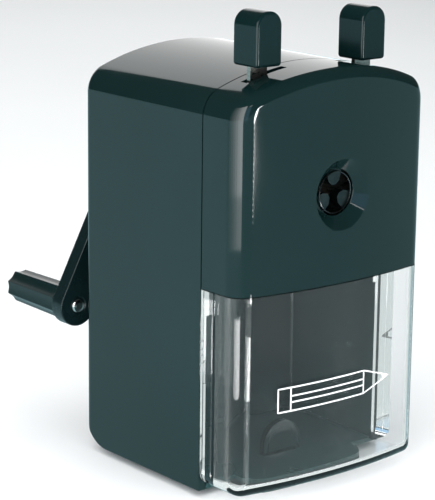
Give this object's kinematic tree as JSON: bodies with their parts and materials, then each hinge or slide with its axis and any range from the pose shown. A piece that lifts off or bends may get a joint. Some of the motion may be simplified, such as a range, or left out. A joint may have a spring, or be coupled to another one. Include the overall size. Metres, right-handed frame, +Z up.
{
  "type": "desk pencil sharpener",
  "caption": "Hand-cranked desk pencil sharpener with an arched casing, squeeze levers over a spring-fed front and a clear pull-out shavings drawer.",
  "frame": {"origin": "on the table under the middle of the body, at the centre pad's underside", "axes": "+X to the right seen from the front, +Y to the back along the pencil, +Z up"},
  "size_m": [0.0691, 0.1058, 0.1293],
  "materials": {
    "casing_plastic": "glossy",
    "clear_plastic": "clear moulded plastic",
    "steel": "satin",
    "rubber": "matte",
    "pale_plastic": "matte",
    "grip_plastic": "semi gloss"
  },
  "bodies": {
    "base": {"main_casing": "casing_plastic", "base_plate": "casing_plastic", "front_foot": "rubber", "centre_pad": "rubber", "rear_foot_left": "rubber", "rear_foot_right": "rubber", "base_screw_left": "steel", "base_screw_right": "steel", "bulkhead": "casing_plastic", "bulkhead_screw_left": "steel", "bulkhead_screw_right": "steel", "ring_gear": "pale_plastic", "rear_bearing": "casing_plastic", "return_spring_left": "steel", "return_spring_right": "steel"},
    "front": {"front_cover": "casing_plastic", "chuck_plate": "steel", "chuck_ring": "steel", "chuck_screw_left": "steel", "chuck_screw_right": "steel", "guide_rod_left": "steel", "guide_rod_right": "steel", "lever_spring": "steel"},
    "lever_left": {"lever_strip_left": "steel", "lever_cap_left": "casing_plastic"},
    "lever_right": {"lever_strip_right": "steel", "lever_cap_right": "casing_plastic"},
    "jaw_top": {"jaw_top": "steel"},
    "jaw_left": {"jaw_left": "steel"},
    "jaw_right": {"jaw_right": "steel"},
    "drawer": {"drawer": "clear_plastic"},
    "crank": {"crank_arm": "casing_plastic", "crank_screw": "steel", "handle_pin": "steel", "cutter_carrier": "pale_plastic"},
    "cutter": {"helical_cutter": "steel"},
    "grip": {"handle_grip": "grip_plastic"}
  },
  "joints": [
    {"name": "feed_slide", "type": "slide", "parent": "base", "child": "front", "axis": [0, -1, 0], "range_m": [0, 0.026], "stiffness_N_per_m": 60, "springref_m": -0.015, "deforming": ["return_spring_left", "return_spring_right"]},
    {"name": "lever_left_turn", "type": "hinge", "parent": "front", "child": "lever_left", "pos_m": [0, -0.0213, 0.0814], "axis": [0, 1, 0], "range_deg": [0, 10], "stiffness_Nm_per_rad": 0.12, "springref_deg": -8.59, "deforming": ["lever_spring"]},
    {"name": "lever_right_turn", "type": "hinge", "parent": "front", "child": "lever_right", "pos_m": [0, -0.0196, 0.0814], "axis": [0, -1, 0], "range_deg": [0, 10]},
    {"name": "jaw_top_slide", "type": "slide", "parent": "front", "child": "jaw_top", "axis": [0, 0, 1], "range_m": [0, 0.0022]},
    {"name": "jaw_left_slide", "type": "slide", "parent": "front", "child": "jaw_left", "axis": [-0.866, 0, -0.5], "range_m": [0, 0.0022]},
    {"name": "jaw_right_slide", "type": "slide", "parent": "front", "child": "jaw_right", "axis": [0.866, 0, -0.5], "range_m": [0, 0.0022]},
    {"name": "drawer_slide", "type": "slide", "parent": "base", "child": "drawer", "axis": [0, -1, 0], "range_m": [0, 0.05]},
    {"name": "crank_turn", "type": "hinge", "parent": "base", "child": "crank", "pos_m": [0, 0.034, 0.0814], "axis": [0, 1, 0], "continuous": true},
    {"name": "cutter_spin", "type": "hinge", "parent": "crank", "child": "cutter", "pos_m": [0, -0.01, 0.0919], "axis": [0, 0.9816, -0.1908], "continuous": true},
    {"name": "grip_spin", "type": "hinge", "parent": "crank", "child": "grip", "pos_m": [-0.03027, 0.06, 0.03974], "axis": [0, 1, 0], "continuous": true}
  ],
  "couplings": [
    {"joint": "lever_right_turn", "follows": "lever_left_turn", "ratio": 1},
    {"joint": "jaw_top_slide", "follows": "lever_left_turn", "m_per_rad": 0.012605},
    {"joint": "jaw_left_slide", "follows": "lever_left_turn", "m_per_rad": 0.012605},
    {"joint": "jaw_right_slide", "follows": "lever_left_turn", "m_per_rad": 0.012605},
    {"joint": "cutter_spin", "follows": "crank_turn", "ratio": -3.1}
  ]
}
